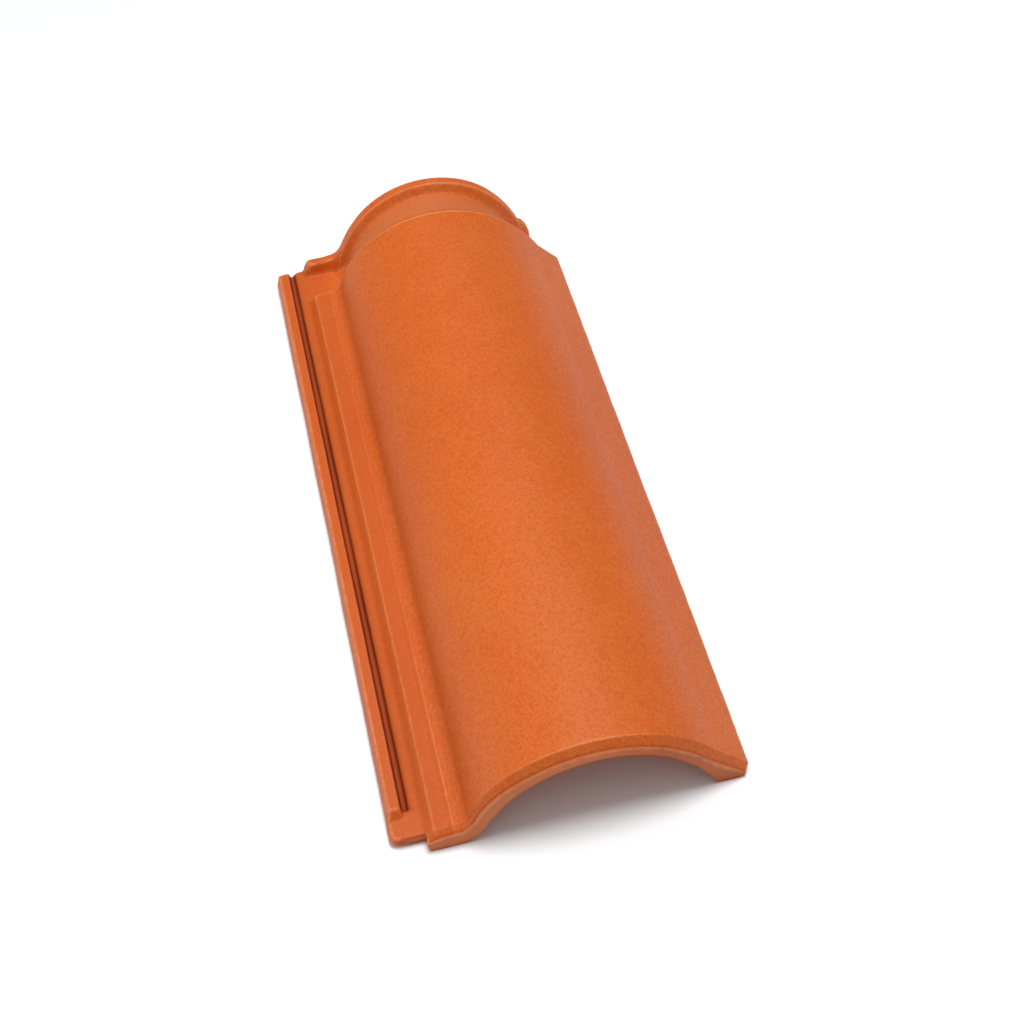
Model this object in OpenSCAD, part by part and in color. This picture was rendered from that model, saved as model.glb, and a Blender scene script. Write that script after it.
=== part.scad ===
// Interlocking clay roof tile, half width: one barrel roll with a narrow side-lock flange on its left.
// One piece of fired clay, so one solid. The nose (lower end on the roof) looks to -Y, the head to +Y.
// Origin at the middle of the footprint, on the plane the tile rests on.

/* [Tile] */
// Overall length, nose to head
tile_len = 450; // [300:1:560]
// Overall width, rim to drip lip
tile_w = 190; // [150:1:240]
// Height of the barrel's crest over the resting plane
crest_h = 61.7; // [45:0.1:85]
// Wall of the barrel
wall_t = 11; // [7:0.1:14]

/* [Flange and pan] */
// Width of the side-lock flange, rim to the pan's left foot
flange_w = 20; // [16:0.5:28]
// Level of the flange's channel floor
floor_z = 8; // [6:0.1:12]
// Lift of the flange's underside over the pan's underside
flange_lift = 1; // [0.5:0.1:3]
// Setback of the flange's nose end from the barrel's nose
flange_back = 6.3; // [2:0.1:12]
// Top of the outer rim
rim_z = 12.2; // [9:0.1:16]
// Width of the outer rim at its top
rim_w = 6.6; // [4:0.1:10]
// Outward draft of the rim's outer side
rim_draft = 2.6; // [0.5:0.1:4]
// Distance from the flange's nose end to the rim's nose end
rim_back = 15.5; // [6:0.5:40]
// Width of the water groove beside the rim
groove_w = 4; // [2.5:0.1:6]
// Depth of the water groove below the channel floor
groove_d = 3; // [1:0.1:4]
// Rise of the shelf over the channel floor
shelf_rise = 4.2; // [2:0.1:7]
// Fall of the shelf from the barrel to the channel
shelf_fall = 1; // [0:0.1:2]
// Radius of the valley between the shelf and the barrel
valley_r = 4.5; // [3:0.1:7]

/* [Right edge] */
// Reach of the drip lip beyond the barrel's foot
lip_w = 5; // [2:0.1:8]
// Height of the drip lip's outer face
lip_z = 6; // [4:0.1:9]

/* [Nose] */
// Bevel round the barrel's nose end
nose_bevel = 4.6; // [2:0.1:7]

/* [Head] */
// Length of the head, from the step to the far end
head_len = 32; // [22:0.5:60]
// Length of the sloping step down to the neck
step_len = 6; // [3:0.5:12]
// How far the neck stands in from the barrel at its feet
neck_in = 16; // [12:0.1:19]
// Wall of the neck
neck_t = 8; // [6:0.1:12]
// Height of the neck's end rib over the neck
rib_h = 5.9; // [2:0.1:8]
// Thickness of the neck's end rib along the tile
rib_t = 12; // [6:0.5:14]
// Height of the rib's crest over the barrel's crest
rib_over = 4.5; // [0:0.1:8]
// Height of the cross rib's ends over the channel floor
stop_h = 8.6; // [4:0.1:12]
// Thickness of the cross rib's ends along the tile
stop_t = 6; // [4:0.1:10]
// Reach of the right end of the cross rib beyond the neck's foot
ear_w = 9.2; // [3:0.1:12]

/* [Hidden] */
$fn = 144;
far = 300;
under = -5;
lap = 0.04;
lap_a = 8;
x_left = -tile_w / 2;
y_nose = -tile_len / 2;
y_head = tile_len / 2;
y_step = y_head - head_len;
// Barrel: a crest arc carried on by a flatter flank arc each side, meeting on one radial line
barrel_w = tile_w - flange_w - lip_w - 9.8;
crest_r = barrel_w * 0.479;
flank_r = barrel_w * 0.629;
arc_a = 40.7;
crest_c = crest_h - crest_r;
flank_c = crest_c - (flank_r - crest_r) * cos(arc_a);
flank_s = (flank_r - crest_r) * sin(arc_a);
foot_half = sqrt(flank_r * flank_r - flank_c * flank_c) - flank_s;
x_mid = tile_w / 2 - lip_w - foot_half;
// Neck and its end rib: the same kind of arch, narrower and a little higher
rib_half = foot_half - neck_in + rib_h;
rib_crest_r = rib_half * 0.919;
rib_flank_r = rib_half * 1.268;
rib_a = 46.7;
rib_crest_z = crest_h + rib_over;
rib_c = rib_crest_z - rib_crest_r;
// Section of the pan
x_groove = x_left + rim_draft + rim_w;
x_floor = x_groove + groove_w;
x_pan = x_left + flange_w;
x_riser = x_pan - 1.2;
x_shelf = x_pan + 3.6;
shelf_z = floor_z + shelf_rise;
x_foot = x_mid - foot_half;
// Left flank outside, of a smaller radius, and the valley's circle just crossing it
valley_flank_r = crest_r * 0.807;
valley_flank_x = x_mid + (valley_flank_r - crest_r) * sin(arc_a);
valley_flank_c = crest_c - (valley_flank_r - crest_r) * cos(arc_a);
valley_c = shelf_z + shelf_fall + valley_r + 0.2;
valley_reach = valley_flank_r + valley_r;
valley_x = valley_flank_x - sqrt(valley_reach * valley_reach - pow(valley_c - valley_flank_c, 2)) + 0.1;

// A flat outline drawn in X and Z, carried from y0 to y1
module along(y0, y1) {
  translate([0, y1, 0])
    rotate([90, 0, 0])
      linear_extrude(height = y1 - y0)
        children();
}

// A round bar or cone lying along Y
module bar(x, z, y0, y1, ra, rb) {
  translate([x, y0, z])
    rotate([-90, 0, 0])
      cylinder(h = y1 - y0, r1 = ra, r2 = rb);
}

// Outline of the fan over the crest arc, down to the level zb, al to its left and ar to its right
function fan(c, al, ar, zb) =
  c > zb
  ? [[x_mid, c], [x_mid + far * sin(ar), c + far * cos(ar)], [x_mid - far * sin(al), c + far * cos(al)]]
  : [
      [x_mid + (zb - c) * tan(ar), zb],
      [x_mid + far * sin(ar), c + far * cos(ar)],
      [x_mid - far * sin(al), c + far * cos(al)],
      [x_mid - (zb - c) * tan(al), zb]
    ];

// Outline of the space over one flank arc, k = 1 on the right and -1 on the left
function wing(c, a, zb, k) =
  concat(
    c > zb ? [[x_mid, zb], [x_mid, c]] : [[x_mid + k * (zb - c) * tan(a), zb]],
    [
      [x_mid + k * far * sin(a), c + far * cos(a)],
      [x_mid + k * far * 2, c + far * cos(a)],
      [x_mid + k * far * 2, zb]
    ]
  );

// Solid arch from y0 to y1 over the level zb, its arcs grown by d0 at the start and d1 at the end.
// The radii are the crest arc's and the left and right flank arcs', which share its tangent at the
// angle a. One of two meeting arcs laps past the other, a hair apart, so that they cross cleanly.
module arch(rc, rl, rr, c, a, y0, y1, d0, d1, zb) {
  intersection() {
    bar(x_mid, c, y0, y1, rc + d0, rc + d1);
    along(y0 - 1, y1 + 1)
      polygon(fan(c, rl > rc ? a + lap_a : a, rr > rc ? a + lap_a : a, zb));
  }
  for (k = [-1, 1]) {
    rf = k < 0 ? rl : rr;
    hair = rf > rc ? -lap : lap;
    x = x_mid - k * (rf - rc) * sin(a);
    z = c - (rf - rc) * cos(a);
    intersection() {
      bar(x, z, y0, y1, rf + d0 + hair, rf + d1 + hair);
      along(y0 - 1, y1 + 1)
        polygon(wing(c, rf > rc ? a : a - lap_a, zb, k));
    }
  }
}

// The barrel's outside: its left flank turns down sooner, into the valley
module barrel_arch(y0, y1, d0, d1) {
  arch(crest_r, valley_flank_r, flank_r, crest_c, arc_a, y0, y1, d0, d1, 0);
}

// The hollow under the barrel, alike on both sides
module barrel_hollow(y0, y1) {
  arch(crest_r, flank_r, flank_r, crest_c, arc_a, y0, y1, -wall_t, -wall_t, under);
}

module neck_arch(y0, y1, d0, d1, zb) {
  arch(rib_crest_r, rib_flank_r, rib_flank_r, rib_c, rib_a, y0, y1, d0, d1, zb);
}

// Barrel with its bevelled nose and the slope down to the neck
module barrel() {
  barrel_arch(y_nose, y_nose + nose_bevel, -nose_bevel, 0);
  barrel_arch(y_nose + nose_bevel, y_step, 0, 0);
  barrel_arch(y_step, y_step + step_len, 0, -neck_in * 0.62);
}

// Neck and the rounded rib at its far end
module neck() {
  y_rib = y_head - rib_t;
  neck_arch(y_step - wall_t, y_rib, -rib_h, -rib_h, 0);
  neck_arch(y_rib, y_rib + rib_t * 0.4, -rib_h, 0, 0);
  neck_arch(y_rib + rib_t * 0.4, y_head - 2, 0, 0, 0);
  neck_arch(y_head - 2, y_head, 0, -2, 0);
}

// Pan with its shelf, riser and worn ridge, as far as the step
module pan() {
  along(y_nose, y_step)
    polygon([
      [x_pan, 0],
      [x_foot + 30, 0],
      [x_foot + 30, shelf_z + shelf_fall],
      [valley_x - 2.2, shelf_z + shelf_fall + 1.1],
      [valley_x - 3.2, shelf_z + shelf_fall + 1],
      [valley_x - 5.2, shelf_z + shelf_fall * 0.8],
      [x_shelf, shelf_z],
      [x_riser, floor_z],
      [x_pan - 0.4, flange_lift + 0.5]
    ]);
  along(y_step - 1, y_step + 5)
    polygon([[x_pan, 0], [x_foot + 12, 0], [x_foot + 12, floor_z + 2], [x_shelf, floor_z + 2], [x_riser, floor_z]]);
  along(y_step - 1, y_head)
    polygon([[x_pan - 0.4, 0], [x_foot + 20, 0], [x_foot + 20, floor_z], [x_pan - 2, floor_z]]);
}

// Side-lock flange: rim, water groove and channel floor
module flange() {
  y_end = y_nose + flange_back;
  y_rim = y_end + rim_back;
  difference() {
    union() {
      along(y_end, y_head)
        polygon([
          [x_left, flange_lift],
          [x_pan + 3, flange_lift],
          [x_pan + 3, floor_z],
          [x_left + rim_draft * 0.7, floor_z],
          [x_left, flange_lift + 2]
        ]);
      along(y_rim - (rim_z - floor_z), y_head)
        polygon([
          [x_left, flange_lift + 1],
          [x_groove, flange_lift + 1],
          [x_groove, rim_z],
          [x_left + rim_draft, rim_z],
          [x_left, flange_lift + 2]
        ]);
    }
    along(y_rim, y_head + 1)
      polygon([
        [x_groove, floor_z + 5],
        [x_groove + 0.6, floor_z - groove_d],
        [x_floor - 0.6, floor_z - groove_d],
        [x_floor, floor_z + 5]
      ]);
    translate([x_left - 1, y_rim - (rim_z - floor_z), floor_z])
      rotate([45, 0, 0])
        cube([flange_w, 2 * (rim_z - floor_z), rim_z]);
    translate([x_left - 1, y_head - (rim_z - floor_z), rim_z])
      rotate([-45, 0, 0])
        cube([rim_w + rim_draft + 1.2, 2 * (rim_z - floor_z), rim_z]);
  }
}

// Drip lip along the barrel's right foot, with a straight fairing from the flank down to its edge.
// Its nose end is cut to the same bevel as the barrel's.
module lip() {
  x_r = tile_w / 2;
  x_t = x_r - 0.5;
  z_t = lip_z + 1;
  x_f = x_r - lip_w - 13.2;
  z_f = lip_z + 20;
  difference() {
    along(y_nose, y_step - 3)
      polygon([
        [x_r - lip_w - wall_t, 0],
        [x_r - lip_w + 1, 0],
        [x_r, lip_z * 0.45],
        [x_r, lip_z],
        [x_t, z_t],
        [x_f, z_f]
      ]);
    translate([x_t, y_nose, z_t])
      rotate([0, atan2(z_f - z_t, x_t - x_f), 0])
        translate([-40, 0, -nose_bevel - 0.3])
          rotate([45, 0, 0])
            translate([0, -10, 0])
              cube([60, 30, 12]);
  }
}

// Cross rib's two ends, left on the pan and right beside the neck
module stops() {
  top = floor_z + stop_h;
  along(y_head - stop_t, y_head)
    polygon([[x_pan + 0.5, 1], [x_foot + 12, 1], [x_foot + 12, top + 1], [x_pan + 5, top], [x_pan + 1.5, top - 4]]);
  along(y_head - stop_t, y_head)
    polygon([
      [x_mid + rib_half - 8, 0],
      [x_mid + rib_half - rib_h + ear_w, 0],
      [x_mid + rib_half - rib_h + ear_w - 2, top - 6],
      [x_mid + rib_half - rib_h + ear_w - 5, top - 1.5],
      [x_mid + rib_half - 8, top]
    ]);
}

module roof_tile() {
  color("#c4582e")
    difference() {
      union() {
        barrel();
        neck();
        pan();
        flange();
        lip();
        stops();
      }
      // hollow under the barrel and under the neck
      barrel_hollow(y_nose - 1, y_step - wall_t);
      neck_arch(y_step - wall_t - 1, y_head + 1, -rib_h - neck_t, -rib_h - neck_t, under);
      // valley between the shelf and the barrel
      bar(valley_x, valley_c, y_nose - 1, y_step, valley_r, valley_r);
      // eased inner edge of the pan's foot
      along(y_nose - 1, y_step - wall_t)
        polygon([[x_foot + wall_t - 6, -1], [x_foot + wall_t + 2.2, 3.6], [x_foot + wall_t + 6, -1]]);
    }
}

roof_tile();
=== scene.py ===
# %% [markdown]
# # A clay roof tile
# The tile is one piece of fired clay: a long half-round barrel, a flat shelf on its left, and a
# narrow side lock (channel, water groove and rim) that the next tile's edge covers. At the head the
# barrel draws in to a neck with a raised rib. This lesson loads the measured frame, rebuilds the
# tile as one fine mesh with soft, worn edges, and gives it a fired-clay finish.

# %% Load the frame
import bpy
import math
import numpy as np
from mathutils import Matrix, Vector


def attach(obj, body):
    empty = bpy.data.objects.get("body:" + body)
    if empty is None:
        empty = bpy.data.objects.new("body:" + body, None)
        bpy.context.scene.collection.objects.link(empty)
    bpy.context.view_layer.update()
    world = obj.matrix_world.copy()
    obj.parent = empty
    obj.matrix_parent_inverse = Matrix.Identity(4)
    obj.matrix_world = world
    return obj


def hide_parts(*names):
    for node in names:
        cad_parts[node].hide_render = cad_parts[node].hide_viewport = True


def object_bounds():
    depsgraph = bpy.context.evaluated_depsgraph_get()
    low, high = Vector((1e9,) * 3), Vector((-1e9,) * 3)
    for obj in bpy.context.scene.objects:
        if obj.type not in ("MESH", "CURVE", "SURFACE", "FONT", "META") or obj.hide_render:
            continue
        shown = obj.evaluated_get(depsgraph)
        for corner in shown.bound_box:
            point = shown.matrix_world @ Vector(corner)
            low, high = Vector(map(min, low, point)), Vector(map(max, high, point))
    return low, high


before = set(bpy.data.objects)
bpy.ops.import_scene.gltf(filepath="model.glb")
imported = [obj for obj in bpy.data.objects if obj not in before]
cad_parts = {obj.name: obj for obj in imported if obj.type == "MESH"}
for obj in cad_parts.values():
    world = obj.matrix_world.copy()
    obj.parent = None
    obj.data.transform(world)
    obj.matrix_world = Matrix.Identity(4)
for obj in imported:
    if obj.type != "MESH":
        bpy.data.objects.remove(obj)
cad_low, cad_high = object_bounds()
print("frame box in metres:", [round(v, 4) for v in (*cad_low, *cad_high)])

# %% [markdown]
# ## The camera
# The tile lies on a pale floor and is seen from above its nose, a little from the left, with the
# head running away to the upper left. Tilt, heading and roll place such a camera. Making them one
# rotation keeps each of the three easy to change.

# %% Camera
def look_matrix(place, tilt, heading, roll):
    """A camera's matrix from its place in metres and its three angles in degrees."""
    tilt, heading = math.radians(tilt), math.radians(heading)
    ahead = Vector((math.cos(tilt) * -math.sin(heading), math.cos(tilt) * math.cos(heading), -math.sin(tilt)))
    right = Matrix.Rotation(math.radians(roll), 3, ahead) @ ahead.cross(Vector((0, 0, 1))).normalized()
    up = right.cross(ahead)
    return Matrix.Translation(place) @ Matrix((right, up, -ahead)).transposed().to_4x4()


camera_data = bpy.data.cameras.new("camera")
camera_data.sensor_width = 36
camera_data.lens = 56.07
camera = bpy.data.objects.new("camera", camera_data)
bpy.context.collection.objects.link(camera)
camera.matrix_world = look_matrix((-0.0738, -0.6209, 0.7317), 50.18, -8.37, 5.98)
bpy.context.scene.camera = camera
print("camera stands", round(camera.location.z, 3), "m over the floor")

# %% [markdown]
# ## The sizes
# A tile is a section carried along a line, so it is described by a few sizes across and a few
# along. They are in millimetres here, the unit such a mould is drawn in, and match the frame.

# %% Sizes across the tile
LEFT, RIGHT = -95.0, 95.0
FLOOR_Z, LIFT, RIM_Z = 8.0, 1.0, 12.2
RIM_DRAFT, RIM_W, GROOVE_D = 2.6, 6.6, 3.0
# The groove's outline: how far right of the rim, and what share of its depth it has there
GROOVE_LINE = ((0.5, 1.0), (2.6, 1.0), (3.9, 0.42), (5.6, 0.08))
PAN_X, RISER_X, SHELF_X, SHELF_Z = -75.0, -76.2, -71.4, 12.2
WALL, NECK_WALL, RIB_H = 11.0, 8.0, 5.9
MID = 12.38  # the arches' middle, in x
LIP_Z = 6.0
VALLEY_X = -58.3
PLAY = 0.4  # the flange's underside runs this far in under the pan, so that they share clay

# %% Sizes along the tile
NOSE, HEAD = -225.0, 225.0
FLANGE_Y = NOSE + 6.3
RIM_Y = FLANGE_Y + 15.5
STEP_Y = HEAD - 32.0
RIB_Y = HEAD - 12.0
STOP_Y = HEAD - 6.0
BEVEL = 4.6
CORNER, HEAD_CORNER = 4.5, 3.5  # the flange's rounded corners, seen from above
print("barrel", STEP_Y - NOSE, "mm long, head", HEAD - STEP_Y, "mm")

# %% [markdown]
# ## The two arches
# The barrel's section is a crest arc that hands over to a flatter flank arc on each side, except on
# the outside over the valley, where the flank turns down sooner. The neck is the same kind of arch,
# narrower and a little higher. An arch is told here by the radius and centre height of its crest
# arc, the hand-over angle, and the radius of its left and right flank arcs, which share a tangent
# with the crest arc there, so that their centres follow.

# %% Arch points
OUTSIDE = dict(crest=74.34, level=-12.64, turn=40.7, flanks=(60.0, 97.62))
HOLLOW = dict(crest=74.34, level=-12.64, turn=40.7, flanks=(97.62, 97.62))
NECK = dict(crest=62.05, level=4.15, turn=46.7, flanks=(85.61, 85.61))


def foot_angle(arch, side, grow, z):
    """The angle from the vertical, in degrees, at which a flank arc grown by grow passes the height z."""
    radius = arch["flanks"][side]
    centre = arch["level"] - (radius - arch["crest"]) * math.cos(math.radians(arch["turn"]))
    return math.degrees(math.acos((z - centre) / (radius + grow)))


def arch_points(arch, grow, z_left, z_right, count):
    """Even points on the arch grown by grow, from z_left on the left foot to z_right on the right."""
    turn, crest = arch["turn"], arch["crest"]
    left, right = foot_angle(arch, 0, grow, z_left), foot_angle(arch, 1, grow, z_right)
    run_left = (arch["flanks"][0] + grow) * math.radians(left - turn)
    run_crest = (crest + grow) * math.radians(2 * turn)
    run_right = (arch["flanks"][1] + grow) * math.radians(right - turn)
    knots = np.cumsum([0, run_left, run_crest, run_right])
    angle = np.interp(np.linspace(0, knots[-1], count), knots, [-left, -turn, turn, right])
    radius = np.where(angle < -turn, arch["flanks"][0], np.where(angle > turn, arch["flanks"][1], crest))
    lean = np.radians(np.sign(angle) * turn)
    angle = np.radians(angle)
    x = MID - (radius - crest) * np.sin(lean) + (radius + grow) * np.sin(angle)
    z = arch["level"] - (radius - crest) * np.cos(lean) + (radius + grow) * np.cos(angle)
    return np.column_stack([x, z])


for name, arch in (("barrel", OUTSIDE), ("neck", NECK)):
    p = arch_points(arch, 0, 0, 0, 99)
    print(name, "arch is", round(p[-1, 0] - p[0, 0], 1), "mm wide and", round(p[:, 1].max(), 1), "mm high")

# %% [markdown]
# ## Small helpers for shape
# Clay has no sharp change anywhere, so every change along the tile is an eased step, and every line
# of points is spaced out by length, which keeps the quads even.

# %% Easing and spacing
def ease(value, start, end):
    """0 before start, 1 after end, with a smooth change between."""
    t = min(max((value - start) / (end - start), 0.0), 1.0)
    return t * t * (3 - 2 * t)


def ramp(value, start, end):
    """0 before start, 1 after end, with a straight change between."""
    return min(max((value - start) / (end - start), 0.0), 1.0)


def round_in(distance, radius):
    """How far a quarter-round of this radius stands in, at a distance from the end it rounds."""
    d = min(max(distance, 0.0), radius)
    return radius - math.sqrt(max(radius * radius - (radius - d) ** 2, 0.0))


def bevel_depth(y):
    """How deep the nose bevel cuts at y: a steep band, then a small ledge where the mould's halves met."""
    return float(np.interp(y - NOSE, [0, 0.35, 1.15, 1.4, BEVEL], [5.3, 4.95, 4.6, 4.2, 0.0]))


def spaced(points, count):
    """The polyline through the points, as count points evenly spaced along it."""
    points = np.asarray(points, float)
    step = np.hypot(*np.diff(points, axis=0).T)
    s = np.concatenate([[0], np.cumsum(step)])
    at = np.linspace(0, s[-1], count)
    return np.column_stack([np.interp(at, s, points[:, 0]), np.interp(at, s, points[:, 1])])


def through(points, counts):
    """The polyline through the points, with its own number of steps for each stretch."""
    out = [np.linspace(points[i], points[i + 1], counts[i], endpoint=False) for i in range(len(counts))]
    return np.vstack(out + [np.array([points[-1]], float)])

# %% [markdown]
# ## One section
# The top line runs from the rim on the left to the drip lip on the right, and the underside has the
# same number of points, so that the two make one closed loop and the ends can be filled with quads.
# The line is made in five stretches. Each knows how it changes from the nose to the head.

# %% Stretch 1: rim, water groove and channel floor
N_LOCK = 39


def flange_end(y):
    """How far the flange's outer side and its top and bottom edges draw in near its two ends."""
    corner = round_in(y - FLANGE_Y, CORNER) + round_in(HEAD - y, HEAD_CORNER)
    edge = 0.55 * round_in(y - FLANGE_Y, 1.6) + 0.3 * round_in(HEAD - y, 1.2)
    return corner, edge


def lock_top(y):
    """The top line from the rim to the riser; nearer the nose than the flange, the pan's bare side."""
    if y < FLANGE_Y:
        return spaced([(PAN_X - 0.45, 1.5), (RISER_X, FLOOR_Z)], N_LOCK)
    corner, edge = flange_end(y)
    rim = (RIM_Z - FLOOR_Z) * ramp(y, RIM_Y - 4.2, RIM_Y) * (1 - 0.92 * ease(y, HEAD - 5.5, HEAD - 0.8))
    deep = GROOVE_D * ease(y, RIM_Y - 0.6, RIM_Y + 1.2)
    left, top = LEFT + corner, FLOOR_Z - edge
    in_x = LEFT + RIM_DRAFT + RIM_W
    side_x = LEFT + RIM_DRAFT * (0.7 + 0.3 * rim / (RIM_Z - FLOOR_Z)) + corner
    points = [(left, LIFT + edge), (left, LIFT + 2), (side_x, top + rim), (in_x, top + rim * 0.96)]
    points += [(in_x + across, top - share * deep) for across, share in GROOVE_LINE]
    return through(points + [(RISER_X, top)], [2, 7, 7, 8, 4, 3, 3, 4])


def lock_under(y):
    """The underside below it, its points nearly below the top's, so that the ends' quads stay in the clay."""
    if y < FLANGE_Y:
        return spaced([(PAN_X - 0.45, 1.5), (PAN_X - PLAY, 1.0)], N_LOCK)
    corner, edge = flange_end(y)
    side, groove_x = LEFT + corner, LEFT + RIM_DRAFT + RIM_W + 0.5
    below = np.interp(lock_top(y)[:, 0], [side, groove_x, RISER_X], [side, groove_x, PAN_X - PLAY])
    x = 0.85 * below + 0.15 * np.linspace(side, PAN_X - PLAY, N_LOCK)
    return np.column_stack([x, np.full(N_LOCK, LIFT + edge)])


print("side lock:", N_LOCK, "points a section")

# %% Stretch 2: riser, shelf and the worn ridge beside the valley
def stop_rise(y):
    """0 before the head rib's end stops, 1 on them."""
    return ease(y, STOP_Y - 1.8, STOP_Y + 1.2)


def join_x(y):
    """Where the pan's top meets the valley: further right once the neck has drawn in."""
    return (VALLEY_X - 2.3) + ease(y, STEP_Y, STEP_Y + 6) * 5.7


def shelf_top(y):
    """The top line from the riser to the valley, dropping to the channel's floor past the step."""
    drop = 0.9 * ramp(y, STEP_Y, STEP_Y + 2.6) + 0.1 * ease(y, STEP_Y, STEP_Y + 4.4)
    nose = 0.5 * bevel_depth(y)
    end = join_x(y)

    def top(z):
        return z + (FLOOR_Z - z) * drop - nose * (1 - drop)

    points = np.array([
        (RISER_X, FLOOR_Z), (SHELF_X + 0.4 * nose, top(SHELF_Z)), (end - 5.5, top(SHELF_Z + 0.7)),
        (end - 3.0, top(SHELF_Z + 0.8)), (end - 1.2, top(SHELF_Z + 1.6)), (end, top(SHELF_Z + 1.6)),
    ])
    line = through(points, [7, 8, 3, 3, 2])
    rise = np.interp(line[:, 0], [RISER_X + 0.6, RISER_X + 2.2, RISER_X + 5.0, 0], [0, 4.8, 8.6, 8.9])
    line[:, 1] += stop_rise(y) * (rise + 1.1 * np.clip((line[:, 0] - end + 8) / 8, 0, 1) ** 2)
    return line


def shelf_under():
    """The flat underside of the pan, the same at every y."""
    return through([(PAN_X - PLAY, LIFT), (PAN_X, 0.0), (-62.5, 0.0)], [4, 19])


print("shelf:", len(shelf_top(0.0)), "points a section")

# %% Stretches 3 and 4: valley, then barrel or neck
N_VALLEY, N_ARCH = 11, 88


def arch_line(y, z_left, z_right, count):
    """The barrel's or the neck's outer line, whichever the place along the tile calls for."""
    draw_in = 0.8 * ramp(y, STEP_Y, STEP_Y + 5.0) + 0.2 * ease(y, STEP_Y, STEP_Y + 6.0)
    bevel = -bevel_depth(y)
    rise = 0.5 * ramp(y, RIB_Y + 0.5, RIB_Y + 5.0) + 0.5 * ease(y, RIB_Y + 0.5, RIB_Y + 5.0)
    rib = -RIB_H * (1 - rise) - 1.6 * round_in(HEAD - y, 2.6) / 2.6
    plain = arch_points(OUTSIDE, 0.0, z_left, z_right, count)
    cut = arch_points(OUTSIDE, bevel, z_left, z_right, count)
    fade = 0.45 + 0.55 * np.interp(np.linspace(0, 1, count), [0, 0.30], [0, 1])[:, None]
    barrel = plain + (cut - plain) * fade
    neck = arch_points(NECK, rib, z_left, z_right, count)
    return barrel + (neck - barrel) * draw_in


def lip_end(y):
    """0 along the drip lip, 1 where it has ended just short of the step."""
    return ease(y, STEP_Y - 4.2, STEP_Y - 2.0)


def right_stop(y):
    """0 before the rib's stop on the right, 1 on it."""
    return ease(y, STOP_Y - 1.8, STOP_Y + 1.0)


def valley_and_arch(y, start):
    """From the pan's top at start, round the valley and up on to the arch, then over to the right foot."""
    draw_in = ease(y, STEP_Y, STEP_Y + 6)
    z_left = 18.0 + 10.0 * stop_rise(y)
    z_right = 25.0 - 10.0 * lip_end(y) + 2.2 * right_stop(y)
    arch = arch_line(y, z_left, z_right, N_ARCH)
    t = np.linspace(0, 1, N_VALLEY, endpoint=False)[:, None]
    away = arch[0] - arch[1]
    away = away / np.hypot(*away)
    reach = 2.6 + 1.9 * draw_in
    p0, p3 = np.array(start), arch[0]
    p1 = p0 + np.array([2.2 + 2.0 * draw_in, -2.2 * (1 - draw_in)])
    p2 = p3 + away * reach
    curve = (1 - t) ** 3 * p0 + 3 * (1 - t) ** 2 * t * p1 + 3 * (1 - t) * t ** 2 * p2 + t ** 3 * p3
    return np.vstack([curve[1:], arch])


def hollow_line(y, count):
    """The underside of the barrel and the neck, from the left foot to the right."""
    inner = ease(y, STEP_Y - WALL - 3, STEP_Y - WALL + 1.5)
    thicker = 1.5 * (1 - ease(y, NOSE, NOSE + 14))
    barrel = arch_points(HOLLOW, -WALL - thicker, 0.0, 0.0, count)
    neck = arch_points(NECK, -RIB_H - NECK_WALL, 0.0, 0.0, count)
    return barrel + (neck - barrel) * inner


print("arch:", N_VALLEY - 1 + N_ARCH, "points a section")

# %% Stretch 5: drip lip, bare neck foot and the right end of the cross rib
N_LIP = 19


def lip_top(y, start):
    """From the arch at start down to the floor: the lip, then the bare foot, then the rib's stop."""
    nose = bevel_depth(y)
    lip = np.array([(RIGHT - 0.8, LIP_Z + 1.1), (RIGHT, LIP_Z - 0.3), (RIGHT, 2.7), (RIGHT - 3.6, 0.0)])
    lip = lip - nose * np.array([(0.66, 0.45), (0.55, 0.30), (0.45, 0.0), (0.30, 0.0)])
    plain = arch_line(y, 0.0, 0.0, 200)
    foot = np.array([[np.interp(-z, -plain[100:, 1], plain[100:, 0]), z] for z in (8.0, 5.0, 2.5, 0.0)])
    stub = np.array([(78.2, 15.1), (81.0, 10.6), (82.8, 4.0), (82.8, 0.0)])
    points = lip + (foot - lip) * lip_end(y)
    points = points + (stub - points) * right_stop(y)
    return through([tuple(start)] + [tuple(p) for p in points], [10, 3, 3, 3])[1:]


print("lip:", len(lip_top(0.0, (77.0, 25.0))), "points a section")

# %% [markdown]
# ## Soft edges
# A pressed and fired edge is never sharp. Running a bell-shaped average along the closed loop
# rounds every corner at once, by the same small radius, and hardly moves a long curve. The gap
# between a light and a heavy average also tells where the section is convex or hollow, which later
# tells the finish where clay wears pale and where painted shade darkens it.

# %% Rounding a closed loop
LIGHT, HEAVY = 0.55, 1.7  # how far the two averages reach along a section


def averaged(loop, reach, spacing=0.25):
    """The closed loop after a bell-shaped average of this reach along it, in millimetres."""
    closed = np.vstack([loop, loop[:1]])
    s = np.concatenate([[0], np.cumsum(np.hypot(*np.diff(closed, axis=0).T))])
    count = int(s[-1] / spacing)
    at = np.arange(count) * s[-1] / count
    dense = np.column_stack([np.interp(at, s, closed[:, k]) for k in (0, 1)])
    waves = np.fft.rfftfreq(count, s[-1] / count)
    keep = np.exp(-2 * (math.pi * waves * reach) ** 2)[:, None]
    soft = np.fft.irfft(np.fft.rfft(dense, axis=0) * keep, count, axis=0)
    soft = np.vstack([soft, soft[:1]])
    at = np.append(at, s[-1])
    return np.column_stack([np.interp(s[:-1], at, soft[:, k]) for k in (0, 1)])


def loop_normals(loop):
    """Outward normals of a loop that runs over the top from left to right and back underneath."""
    along = np.roll(loop, -1, axis=0) - np.roll(loop, 1, axis=0)
    length = np.maximum(np.hypot(*along.T), 1e-6)
    return np.column_stack([-along[:, 1], along[:, 0]]) / length[:, None]

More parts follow.
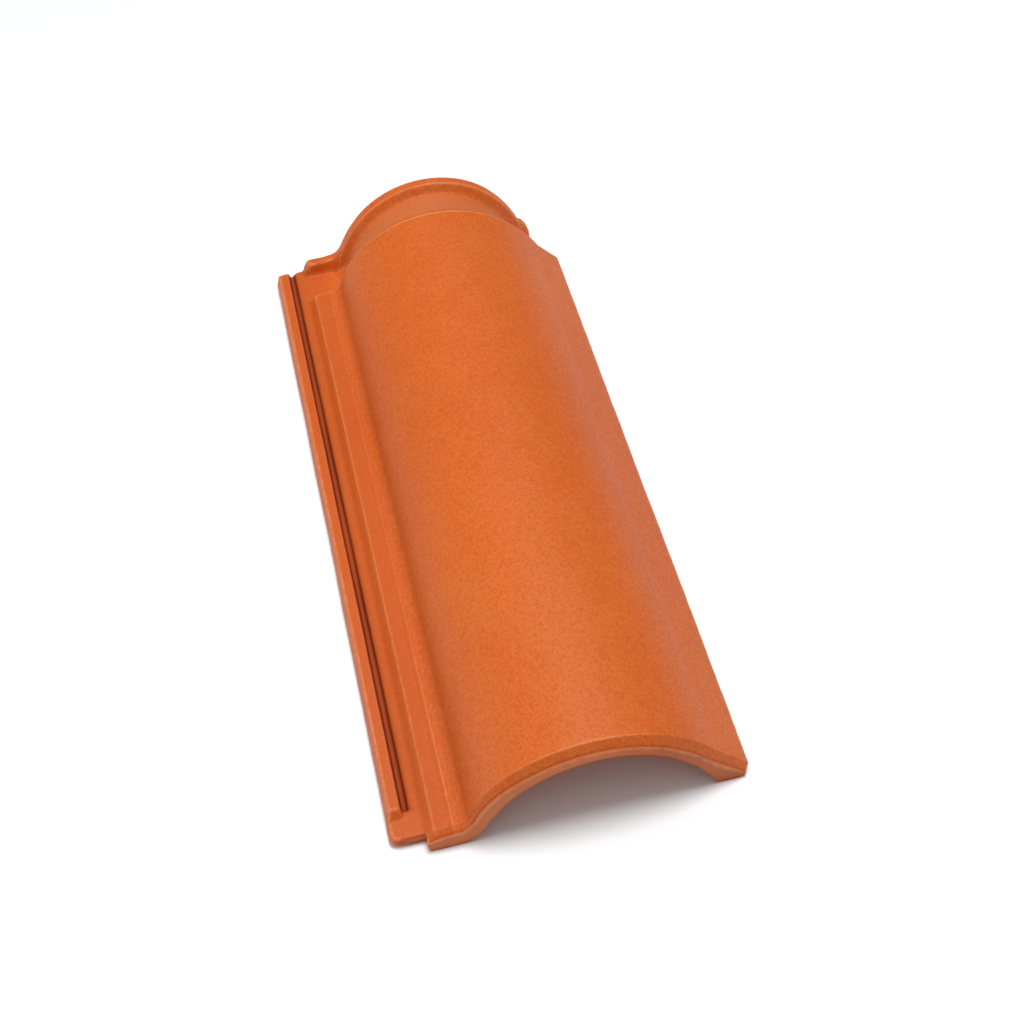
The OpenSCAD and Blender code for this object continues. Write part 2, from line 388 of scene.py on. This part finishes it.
# %% One rounded section
def section(y):
    """The section's closed loop at y, rounded, and how far each point stands proud of a heavy average."""
    lock = lock_top(y)
    shelf = shelf_top(y)
    if y >= FLANGE_Y:
        shelf[0] = lock[-1]
    arch = valley_and_arch(y, shelf[-1])
    lip = lip_top(y, arch[-1])
    top = np.vstack([lock, shelf[1:], arch, lip])
    hollow = hollow_line(y, N_ARCH + N_VALLEY - 1)
    left_half = np.arange(len(hollow)) < len(hollow) // 2
    eased = np.interp(hollow[:, 1], [0, 2, 4.5, 9, 19, 32], [-4.5, -1.6, 0.3, 1.6, 1.0, 0]) * left_half
    hollow = hollow + np.column_stack([eased, 0 * eased])
    lip_under = spaced([hollow[-1], lip[-1]], N_LIP + 1)[1:]
    under = np.vstack([lock_under(y), shelf_under()[1:], hollow, lip_under])
    under[:, 1] = np.maximum(under[:, 1], 0.0)
    loop = np.vstack([top, under[::-1]])
    soft = averaged(loop, LIGHT)
    heavy = averaged(loop, HEAVY)
    proud = np.sum((soft - heavy) * loop_normals(soft), axis=1)
    return soft, proud, len(top)


loop, proud, n_top = section(0.0)
print("section:", len(loop), "points,", n_top, "on top; proudest", round(proud.max(), 2), "mm")

# %% [markdown]
# ## Key sections
# Only the ends of the tile change: the nose with its bevel, the flange's rounded end and the rim's
# slanted end, then the step, neck and rib at the head. So sections are worked out close together
# there, and the 378 mm of plain tile between them needs none. The measure of what stands proud is
# also taken along the tile, so that it finds the nose edge and the step as well as the long ridges.

# %% Where the key sections stand
nose_keys = NOSE + np.array([
    0, 0.15, 0.35, 0.6, 0.9, 1.15, 1.4, 1.8, 2.4, 3.0, 3.6, 4.1, 4.4, 4.6, 4.8, 5.1, 5.6, 6.1,
])
flange_keys = FLANGE_Y + np.array([
    0, 0.15, 0.4, 0.8, 1.3, 1.9, 2.6, 3.5, 4.5, 6, 8, 10,
    11.2, 11.8, 12.5, 13.2, 14, 14.7, 15.3, 15.8, 16.4, 17.4, 19,
])
step_keys = STEP_Y + np.array([
    -15, -12.5, -10.5, -9, -7.5, -6, -4.6, -3.4, -2.4, -1.5, -0.8, -0.2, 0.4, 1.0, 1.7, 2.4,
    3.1, 3.8, 4.5, 5.2, 5.8, 6.5, 7.4, 8.6, 10.2, 12.2, 14.4, 16.6,
])
rib_keys = RIB_Y + np.array([
    -2, -1, -0.2, 0.6, 1.4, 2.2, 3.0, 3.8, 4.6, 5.4, 6.2,
    7.0, 7.8, 8.6, 9.4, 10.1, 10.7, 11.2, 11.6, 11.85, 12,
])
keys_y = np.concatenate([nose_keys, [FLANGE_Y - 0.001], flange_keys, step_keys, rib_keys])
LAST_NOSE_KEY = len(nose_keys) + len(flange_keys)
print(len(keys_y), "key sections; plain tile from", keys_y[LAST_NOSE_KEY], "to", keys_y[LAST_NOSE_KEY + 1])

# %% Work out the key sections
made = [section(float(y)) for y in keys_y]
N_TOP = made[0][2]
ACROSS = 2 * N_TOP
keys = np.array([np.column_stack([m[0][:, 0], np.full(ACROSS, y), m[0][:, 1]]) for m, y in zip(made, keys_y)])
proud_keys = np.array([m[1] for m in made])


def proud_along(line, reach=1.3, spacing=0.3):
    """How far each point of a line along the tile stands off a bell-shaped average, as vectors."""
    s = np.concatenate([[0], np.cumsum(np.linalg.norm(np.diff(line, axis=0), axis=1) + 1e-6)])
    count = int(s[-1] / spacing)
    at = np.linspace(0, s[-1], count)
    dense = np.column_stack([np.interp(at, s, line[:, k]) for k in range(3)])
    there_and_back = np.vstack([dense, dense[::-1]])
    waves = np.fft.rfftfreq(2 * count, spacing)
    keep = np.exp(-2 * (math.pi * waves * reach) ** 2)[:, None]
    soft = np.fft.irfft(np.fft.rfft(there_and_back, axis=0) * keep, 2 * count, axis=0)[:count]
    return line - np.column_stack([np.interp(s, at, soft[:, k]) for k in range(3)])


across_normals = np.array([loop_normals(m[0]) for m in made])
first_with_flange = len(nose_keys) + 1
for i in range(ACROSS):
    first = first_with_flange if i < N_LOCK or i >= ACROSS - N_LOCK else 0
    off = proud_along(keys[first:, i])
    nx, nz = across_normals[first:, i].T
    proud_keys[first:, i] += off[:, 0] * nx + off[:, 2] * nz
print("proudest", round(proud_keys.max(), 2), "mm, most hollow", round(proud_keys.min(), 2), "mm")

# %% The key sections as loose points
key_mesh = bpy.data.meshes.new("key_sections")
key_mesh.from_pydata((keys.reshape(-1, 3) / 1000).tolist(), [], [])
stands_proud = key_mesh.attributes.new("proud", "FLOAT", "POINT")
stands_proud.data.foreach_set("value", proud_keys.ravel().astype(np.float32))
tile = bpy.data.objects.new("tile_sections", key_mesh)
bpy.context.collection.objects.link(tile)
print(len(key_mesh.vertices), "key points")

# %% [markdown]
# ## Sums with nodes
# Node trees are easier to read as sums. This small class wraps a socket, so that an expression such
# as `1 - mask` adds the Math nodes it stands for. Everything else comes from one method, which
# takes a node's type, its settings, and the values or links of its sockets.

# %% A socket that can be used in sums
class Wire:
    """A node's output socket: an operator on it adds the Math node that the operator stands for."""

    def __init__(self, desk, socket):
        self.desk, self.socket = desk, socket

    def math(self, operation, *values):
        return self.desk.node("ShaderNodeMath", {"operation": operation}, dict(enumerate(values)))

    def __add__(self, other):
        return self.math("ADD", self, other)

    def __sub__(self, other):
        return self.math("SUBTRACT", self, other)

    def __rsub__(self, other):
        return self.math("SUBTRACT", other, self)

    def __mul__(self, other):
        return self.math("MULTIPLY", self, other)

    def __truediv__(self, other):
        return self.math("DIVIDE", self, other)

    def __rtruediv__(self, other):
        return self.math("DIVIDE", other, self)

    def __mod__(self, other):
        return self.math("FLOORED_MODULO", self, other)

    def __rmod__(self, other):
        return self.math("FLOORED_MODULO", other, self)

    def floor(self):
        return self.math("FLOOR", self)

    def least(self, other):
        return self.math("MINIMUM", self, other)

    def most(self, other):
        return self.math("MAXIMUM", self, other)

    def between(self, low, high):
        """0 below low, 1 above high, and a smooth change between; low may be the larger."""
        values = {"Value": self, "From Min": low, "From Max": high}
        return self.desk.node("ShaderNodeMapRange", {"interpolation_type": "SMOOTHSTEP"}, values)

    __radd__ = __add__
    __rmul__ = __mul__


class Desk:
    """A node tree to work on."""

    MIX = {"FLOAT": (0, 2, 3, 0), "VECTOR": (0, 4, 5, 1), "RGBA": (0, 6, 7, 2)}

    def __init__(self, tree):
        self.tree = tree
        tree.nodes.clear()

    def node(self, kind, settings=None, values=None, out=0):
        """Adds a node: its settings first, then the values or links of its sockets."""
        made = self.tree.nodes.new(kind)
        for name, value in (settings or {}).items():
            setattr(made, name, value)
        for name, value in (values or {}).items():
            if isinstance(value, Wire):
                self.tree.links.new(value.socket, made.inputs[name])
            else:
                made.inputs[name].default_value = value
        return Wire(self, made.outputs[out]) if made.outputs else made

    def mix(self, kind, factor, a, b):
        """The value a where factor is 0 and b where it is 1."""
        f, first, second, out = self.MIX[kind]
        return self.node("ShaderNodeMix", {"data_type": kind}, {f: factor, first: a, second: b}, out)

    def vector(self, operation, *values, out=0):
        """One of the Vector Math node's sums."""
        return self.node("ShaderNodeVectorMath", {"operation": operation}, dict(enumerate(values)), out)


print("node helpers ready")

# %% [markdown]
# ## Carrying the sections along the tile
# A tile press pushes one outline along a line, and this tree does the same. It lays a plain grid,
# gives each of the grid's points the place that the key sections hold for it, and mixes two key
# sections where the row falls between them. The two ends are closed by smaller grids that run from
# each section's top line to its underside. Geometry Nodes suit this, because the row count and the
# surface's unevenness stay numbers on the modifier, and the mould can be refilled at any fineness.

# %% The tree and its named inputs
fill = bpy.data.node_groups.new("carry_sections", "GeometryNodeTree")
fill.is_modifier = True
fill.interface.new_socket("Sections", in_out="INPUT", socket_type="NodeSocketGeometry")
fill.interface.new_socket("Tile", in_out="OUTPUT", socket_type="NodeSocketGeometry")
INPUTS = {
    "Points Across": ("NodeSocketInt", ACROSS),
    "Last Nose Key": ("NodeSocketInt", LAST_NOSE_KEY),
    "Plain Rows": ("NodeSocketInt", 118),
    "End Rows": ("NodeSocketInt", 9),
    "End Recess": ("NodeSocketFloat", 0.00025),
    "Warp Height": ("NodeSocketFloat", 0.0004),
    "Warp Length": ("NodeSocketFloat", 0.085),
    "Wear Depth": ("NodeSocketFloat", 0.00022),
    "Seed": ("NodeSocketFloat", 7.0),
    "Clay": ("NodeSocketMaterial", None),
}
socket_of = {}
for name, (kind, _) in INPUTS.items():
    socket_of[name] = fill.interface.new_socket(name, in_out="INPUT", socket_type=kind).identifier
desk = Desk(fill)
inputs = fill.nodes.new("NodeGroupInput")
given = {s.name: Wire(desk, s) for s in inputs.outputs if s.name}
print("inputs:", ", ".join(INPUTS))

# %% Reading a key section's point
sections = given["Sections"]
across = given["Points Across"]
place = desk.node("GeometryNodeInputPosition")
index = desk.node("GeometryNodeInputIndex")
stored = desk.node("GeometryNodeInputNamedAttribute", {"data_type": "FLOAT"}, {"Name": "proud"})
key_points = desk.node("GeometryNodeAttributeDomainSize", {"component": "MESH"}, {"Geometry": sections})
key_count = key_points / across


def read(what, kind, key, column):
    """The value that the key sections hold at a key and a column."""
    values = {0: sections, 1: what, 2: key * across + column + 0.5}
    return desk.node("GeometryNodeSampleIndex", {"data_type": kind, "clamp": True}, values)


def placed(mesh, where, proud):
    """The mesh with its points moved to where, each holding how proud it stands."""
    moved = desk.node("GeometryNodeSetPosition", values={"Geometry": mesh, "Position": where})
    settings = {"data_type": "FLOAT", "domain": "POINT"}
    values = {"Geometry": moved, "Name": "proud", "Value": proud}
    return desk.node("GeometryNodeStoreNamedAttribute", settings, values)

# %% The long sides
plain_rows, last_nose = given["Plain Rows"], given["Last Nose Key"]
rows = key_count + plain_rows - 1
grid = desk.node("GeometryNodeMeshGrid", values={"Vertices X": rows, "Vertices Y": across + 1})
row = ((index + 0.5) / (across + 1)).floor()
column = (index - row * (across + 1)) % across
plain = ((row - last_nose) / plain_rows).most(0.0).least(1.0)
key_at = row.least(last_nose) + plain + (row - last_nose - plain_rows).most(0.0)
before = (key_at + 0.00001).floor()
after = (before + 1).least(key_count - 1)
share = (key_at - before).most(0.0)


def blended(what, kind, mix_as):
    """What the key sections before and after a row give it, each by its share."""
    return desk.mix(mix_as, share, read(what, kind, before, column), read(what, kind, after, column))


where = blended(place, "FLOAT_VECTOR", "VECTOR")
how_proud = blended(stored, "FLOAT", "FLOAT")
sides = desk.node("GeometryNodeFlipFaces", values={"Mesh": placed(grid, where, how_proud)})
print("sides: one grid, row by row")

# %% The two ends
end_rows, half = given["End Rows"], across / 2
end_grid = desk.node("GeometryNodeMeshGrid", values={"Vertices X": end_rows, "Vertices Y": half})
end_row = ((index + 0.5) / half).floor()
end_column = index - end_row * half
down = end_row / (end_rows - 1)
# The two outermost columns only close the grid, so their points go to the sides' own points
about_middle = {0: end_column, 1: (half - 1) / 2, 2: half / 2 - 1}
inner = desk.node("ShaderNodeMath", {"operation": "COMPARE"}, about_middle)
even = desk.mix("FLOAT", inner, (down + 0.5).floor().least(1.0), down * down * (3 - 2 * down))
sunk = down.between(0.03, 0.16) * down.between(1.0, 0.9) * given["End Recess"] * inner


def end(key, inward):
    """One end's grid, from its section's top line down to the underside, and sunk a little."""
    top = read(place, "FLOAT_VECTOR", key, end_column)
    foot = read(place, "FLOAT_VECTOR", key, across - 1 - end_column)
    lines = desk.mix("VECTOR", even, top, foot)
    back = desk.node("ShaderNodeCombineXYZ", values={"Y": sunk * inward})
    # The end face's top band is marked proud, so it wears pale; its bottom band is marked hollow, so it gets
    # the painted shade of the hollows along the foot
    wear_and_painted_light = even.between(0.34, 0.20) * 0.45 - even.between(0.80, 1.0) * 0.3
    return placed(end_grid, desk.vector("ADD", lines, back), wear_and_painted_light)


nose_end = end(0.0, 1.0)
head_end = desk.node("GeometryNodeFlipFaces", values={"Mesh": end(key_count - 1, -1.0)})
joined = desk.node("GeometryNodeJoinGeometry")
for part in (sides, nose_end, head_end):
    fill.links.new(part.socket, joined.socket.node.inputs[0])
closed = desk.node("GeometryNodeMergeByDistance", values={"Geometry": joined, "Distance": 0.000008})
print("ends: two grids, merged with the sides")

# %% [markdown]
# ## What firing does to the surface
# Clay shrinks unevenly, so a fired face is never quite flat, and a proud edge loses a little where
# it rubs on its neighbours. Both moves go inwards only, so that the tile keeps its size: a long slow
# warp everywhere, and a short ragged loss on whatever stands proud.

# %% Warp and worn edges
def noise(size, detail, seed=0.0):
    """Noise with features of about this size in metres, which the tree's seed moves."""
    values = {"Vector": place, "W": given["Seed"] + seed, "Scale": 1 / size, "Detail": detail}
    return desk.node("ShaderNodeTexNoise", {"noise_dimensions": "4D"}, values)


normal = desk.node("GeometryNodeInputNormal")
ragged = noise(0.004, 3.0, 11.0).between(0.38, 0.66) * stored.between(0.05, 0.32)
warp = noise(given["Warp Length"], 1.0).between(0.25, 0.75) * given["Warp Height"]
inwards = (warp + ragged * given["Wear Depth"]) * -1
offset = desk.node("ShaderNodeVectorMath", {"operation": "SCALE"}, {0: normal, "Scale": inwards})
fired = desk.node("GeometryNodeSetPosition", values={"Geometry": closed, "Offset": offset})
within = desk.vector("MINIMUM", desk.vector("MAXIMUM", place, tuple(cad_low)), tuple(cad_high))
sized = desk.node("GeometryNodeSetPosition", values={"Geometry": fired, "Position": within})
smooth = desk.node("GeometryNodeSetShadeSmooth", values={"Geometry": sized})
real = desk.node("GeometryNodeRealizeInstances", values={"Geometry": smooth})
dressed = desk.node("GeometryNodeSetMaterial", values={"Geometry": real, "Material": given["Clay"]})
fill.links.new(dressed.socket, fill.nodes.new("NodeGroupOutput").inputs[0])
print(len(fill.nodes), "nodes carry and fire the tile")

# %% [markdown]
# ## Fired clay
# The tile is one dense terracotta that has come out of the kiln satin, not dull. Its colour has
# four scales. Slow patches come from uneven heat, mid-sized clouds from the clay's mixing, and a
# fine grain with a few dark and pale specks from what was ground into it. On top, proud edges are
# rubbed pale and pinkish. Light and shade are also painted in. The hollows, the nose's crease, the
# water groove and the side lock beside the barrel are painted darker as shade. The neck gets a
# painted sheen, and the step's edge gets a pale line that is partly wear and partly a painted
# highlight. The maps sit on Object coordinates, in metres, so that each scale can be written as a
# real size.

# %% Clay material
clay = bpy.data.materials.new("clay")
clay.use_nodes = True
desk = Desk(clay.node_tree)
metres = desk.node("ShaderNodeTexCoord", out=3)
proud = desk.node("ShaderNodeAttribute", {"attribute_name": "proud"}, out=2)


def cloud(size, detail=2.0, rough=0.5, seed=0.0, stretch=None):
    """Noise with features of about this size in metres; stretch draws them out along the tile."""
    vector = metres if stretch is None else desk.vector("MULTIPLY", metres, (1.0, 1 / stretch, 1.0))
    values = {"Vector": vector, "W": seed, "Scale": 1 / size, "Detail": detail, "Roughness": rough}
    return desk.node("ShaderNodeTexNoise", {"noise_dimensions": "4D"}, values)


def coat(under, factor, over):
    """The colour under, covered by the colour over as far as factor says."""
    return desk.mix("RGBA", factor, under, over)


TERRACOTTA = (0.580, 0.110, 0.0125, 1)
REDDER = (0.495, 0.079, 0.0070, 1)
SUNNIER = (0.640, 0.140, 0.0190, 1)
ROSY = (0.570, 0.145, 0.0380, 1)
PALE_EDGE = (0.740, 0.270, 0.1000, 1)
# Painted shade: the dark red that the hollows and the nose crease are painted with
PAINTED_SHADE = (0.240, 0.022, 0.0012, 1)
# A duller pinkish-grey for the neck: painted sheen
NECK_SHEEN = (0.500, 0.150, 0.0550, 1)
# Painted shade for the water groove
GROOVE_SHADE = (0.150, 0.012, 0.0006, 1)
IRON_SPECK = (0.230, 0.040, 0.0120, 1)
PALE_SPECK = (0.740, 0.300, 0.1300, 1)

patches = cloud(0.11, 2.0, seed=3.1, stretch=1.6)
clouds = cloud(0.022, 3.0, 0.55, seed=8.4)
grain = cloud(0.0015, 2.0, 0.80, seed=1.7)
dust = cloud(0.0007, 1.0, seed=5.2)
colour = coat(TERRACOTTA, patches.between(0.42, 0.72) * 0.45, REDDER)
colour = coat(colour, patches.between(0.50, 0.28) * 0.45, SUNNIER)
colour = coat(colour, clouds.between(0.45, 0.75) * 0.30, ROSY)
colour = coat(colour, clouds.between(0.50, 0.25) * 0.30, REDDER)
colour = coat(colour, grain.between(0.47, 0.66) * 0.75, REDDER)
colour = coat(colour, grain.between(0.52, 0.34) * 0.65, SUNNIER)
print("clay: patches 110 mm, clouds 22 mm, grain 1.5 mm")

# %% Specks, worn edges, and painted shade and highlights
iron = cloud(0.0016, 2.0, seed=21.0).between(0.64, 0.76)
pale = cloud(0.0014, 2.0, seed=33.0).between(0.64, 0.76)
colour = coat(colour, iron * 0.30, IRON_SPECK)
colour = coat(colour, pale * 0.25, PALE_SPECK)
# Hollow places are painted darker below: painted shade where less light reaches into them
hollow = proud.between(-0.22, -0.80)
rubbed = proud.between(0.10, 0.36)
# Places on the tile in metres: x to the right, y towards the head, z up from the floor
at_x, at_y, at_z = (desk.node("ShaderNodeSeparateXYZ", values={0: metres}, out=k) for k in range(3))
face = at_y.between(-0.2243, -0.2247)
# The water groove is painted near-black red: painted shade in the groove and on the rim's shaded flank
groove_shade = at_x.between(-0.0862, -0.0858) * at_x.between(-0.0812, -0.0822) * at_z.between(0.004, 0.006)
groove_shade = groove_shade * at_y.between(-0.204, -0.201) * at_y.between(0.2247, 0.2240)
rim_side = at_x.between(-0.0885, -0.0872) * at_x.between(-0.0790, -0.0805)
# A thin band just behind the nose's ledge is painted darker: painted shade in the crease above the ledge
crease_shade = at_y.between(-0.2246, -0.2243) * at_y.between(-0.2232, -0.2237)
# The neck behind the step is painted a duller pinkish-grey: a painted sheen
neck_sheen = at_y.between(0.1935, 0.1965) * at_y.between(0.2145, 0.2105) * at_z.between(0.016, 0.024)
# The step's edge is painted pale: partly worn clay, partly a painted highlight
step_wear_and_highlight = at_y.between(0.1918, 0.1926) * at_y.between(0.1946, 0.1936)
step_wear_and_highlight = step_wear_and_highlight * at_x.between(-0.0762, -0.0752) * at_z.between(0.0070, 0.0085)
bead = at_x.between(-0.0665, -0.0655) * at_x.between(-0.0585, -0.0600)
ragged = cloud(0.0045, 3.0, 0.6, seed=13.0).between(0.30, 0.62)
wear_and_painted_light = rubbed * (ragged * 0.6 + 0.4) * (1 - bead * at_y.between(-0.19, -0.06) * 0.7) * (1 - rim_side * 0.8)
nose_edge = at_y.between(-0.2218, -0.2212) * at_y.between(-0.2190, -0.2198) * at_z.between(0.060, 0.052)
# Rubbed edges wear pale, and the step's painted highlight joins them in this one pale mask
wear_and_painted_light = (wear_and_painted_light * (1 - nose_edge * 0.6)).most(step_wear_and_highlight * (ragged * 0.4 + 0.6)).least(1.0)
# Everything left of the valley is painted redder and darker: painted shade where the barrel keeps light off
# the side lock
pan_shade = at_x.between(-0.056, -0.066)
colour = coat(colour, pan_shade * 0.55, REDDER)
colour = coat(colour, hollow * 0.55, PAINTED_SHADE)
colour = coat(colour, groove_shade * 0.95, GROOVE_SHADE)
colour = coat(colour, crease_shade * 0.45, PAINTED_SHADE)
colour = coat(colour, neck_sheen * 0.55, NECK_SHEEN)
colour = coat(colour, face * (grain * 0.4 + 0.08), PALE_EDGE)
colour = coat(colour, wear_and_painted_light * (face * 0.35 + 0.60), PALE_EDGE)
print("clay: specks 1.5 mm, edges paler, hollows deeper")

# %% Satin skin and shader
roughness = (clouds - 0.5) * 0.16 + (grain - 0.5) * 0.20 + wear_and_painted_light * 0.12 + hollow * 0.10 + groove_shade * 0.30 + 0.50
height = grain * 0.00010 + dust * 0.00004 + clouds * 0.00025 - iron * 0.00006 + ragged * wear_and_painted_light * 0.00010
bump = desk.node("ShaderNodeBump", values={"Strength": 0.55, "Distance": 1.0, "Height": height})
shader_values = {
    "Base Color": colour,
    "Roughness": roughness.least(0.9).most(0.3),
    "Normal": bump,
    "IOR": 1.5,
    "Specular IOR Level": 0.27,
}
shader = desk.node("ShaderNodeBsdfPrincipled", values=shader_values)
surface = clay.node_tree.nodes.new("ShaderNodeOutputMaterial")
clay.node_tree.links.new(shader.socket, surface.inputs["Surface"])
clay.diffuse_color = TERRACOTTA
print(len(clay.node_tree.nodes), "nodes in the clay")

# %% [markdown]
# ## Making the tile a plain mesh
# The modifier's numbers are set before the tile is first evaluated. The result is then kept as an
# ordinary mesh and the modifier goes, because other programs read meshes and not node trees.

# %% Set the numbers, then keep the result
modifier = tile.modifiers.new("carry_sections", "NODES")
modifier.node_group = fill
for name, (_, value) in INPUTS.items():
    modifier[socket_of[name]] = clay if name == "Clay" else value
bpy.context.view_layer.update()
finished = bpy.data.meshes.new_from_object(tile.evaluated_get(bpy.context.evaluated_depsgraph_get()))
finished.name = "fired_tile"
tile.modifiers.remove(modifier)
bpy.data.objects.remove(tile)
fired_tile = bpy.data.objects.new("fired_tile", finished)
bpy.context.collection.objects.link(fired_tile)
for group in list(bpy.data.node_groups):
    bpy.data.node_groups.remove(group)
bpy.data.meshes.remove(key_mesh)
print(len(finished.vertices), "points,", sum(len(p.vertices) - 2 for p in finished.polygons), "triangles")

# %% Is it closed, and does it face outwards?
uses = np.zeros(len(finished.edges), int)
loop_edges = np.empty(len(finished.loops), int)
finished.loops.foreach_get("edge_index", loop_edges)
np.add.at(uses, loop_edges, 1)
finished.calc_loop_triangles()
points = np.empty(len(finished.vertices) * 3)
finished.vertices.foreach_get("co", points)
points = points.reshape(-1, 3)
triangles = np.empty(len(finished.loop_triangles) * 3, int)
finished.loop_triangles.foreach_get("vertices", triangles)
a, b, c = (points[triangles.reshape(-1, 3)[:, k]] for k in range(3))
volume = float(np.einsum("ij,ij->i", a, np.cross(b, c)).sum() / 6)
print("edges not used twice:", int((uses != 2).sum()), " volume", round(volume * 1000, 4), "litres")

# %% Tie the tile to the frame
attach(fired_tile, "root")
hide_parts("roof_tile")
print("the fired tile stands for the frame's roof_tile")

# %% [markdown]
# ## Floor and light
# The tile lies on a bright white floor. A large soft light, high and a little to the right, shapes
# the barrel and leaves a soft shadow under its arch. A weaker light from the left gives the satin
# sheen along that flank, and a white surround, brightest overhead, fills the rest.

# %% Floor
floor_mesh = bpy.data.meshes.new("floor")
floor_mesh.from_pydata([(-6, -6, 0), (6, -6, 0), (6, 6, 0), (-6, 6, 0)], [], [(0, 1, 2, 3)])
floor = bpy.data.objects.new("floor", floor_mesh)
bpy.context.collection.objects.link(floor)
paper = bpy.data.materials.new("white_sweep")
paper.use_nodes = True
desk = Desk(paper.node_tree)
paper_values = {"Base Color": (0.90, 0.92, 0.93, 1), "Roughness": 0.95, "Specular IOR Level": 0.1}
sheet = desk.node("ShaderNodeBsdfPrincipled", values=paper_values)
paper_output = paper.node_tree.nodes.new("ShaderNodeOutputMaterial")
paper.node_tree.links.new(sheet.socket, paper_output.inputs["Surface"])
floor_mesh.materials.append(paper)
floor.location.z = -0.0002  # just below the tile, so that the two faces don't share a plane
print("floor 12 m across")

# %% Lights
def soft_light(name, place, aim, size, watts):
    """A round soft light at place, turned towards aim, this many metres across."""
    data = bpy.data.lights.new(name, "AREA")
    data.shape, data.size, data.energy = "DISK", size, watts
    lamp = bpy.data.objects.new(name, data)
    bpy.context.collection.objects.link(lamp)
    lamp.location = place
    lamp.rotation_euler = (Vector(aim) - Vector(place)).to_track_quat("-Z", "Y").to_euler()
    return lamp


key_light = soft_light("key", (0.24, 0.02, 1.87), (0, 0, 0.03), 0.8, 26)
side_light = soft_light("side", (-1.5, 0.1, 0.50), (-0.02, 0, 0.03), 0.8, 6)
world = bpy.data.worlds.new("surround")
world.use_nodes = True
desk = Desk(world.node_tree)
upward = desk.node("ShaderNodeSeparateXYZ", values={0: desk.node("ShaderNodeTexCoord")}, out=2)
glow = upward.between(0.12, 0.95) * 0.60 + 0.06
surround = desk.node("ShaderNodeBackground", values={"Color": (1, 1, 1, 1), "Strength": glow})
world_output = world.node_tree.nodes.new("ShaderNodeOutputWorld")
world.node_tree.links.new(surround.socket, world_output.inputs["Surface"])
bpy.context.scene.world = world
bpy.context.scene.view_settings.view_transform = "Standard"
print("lights:", key_light.name, side_light.name, "and a white surround")
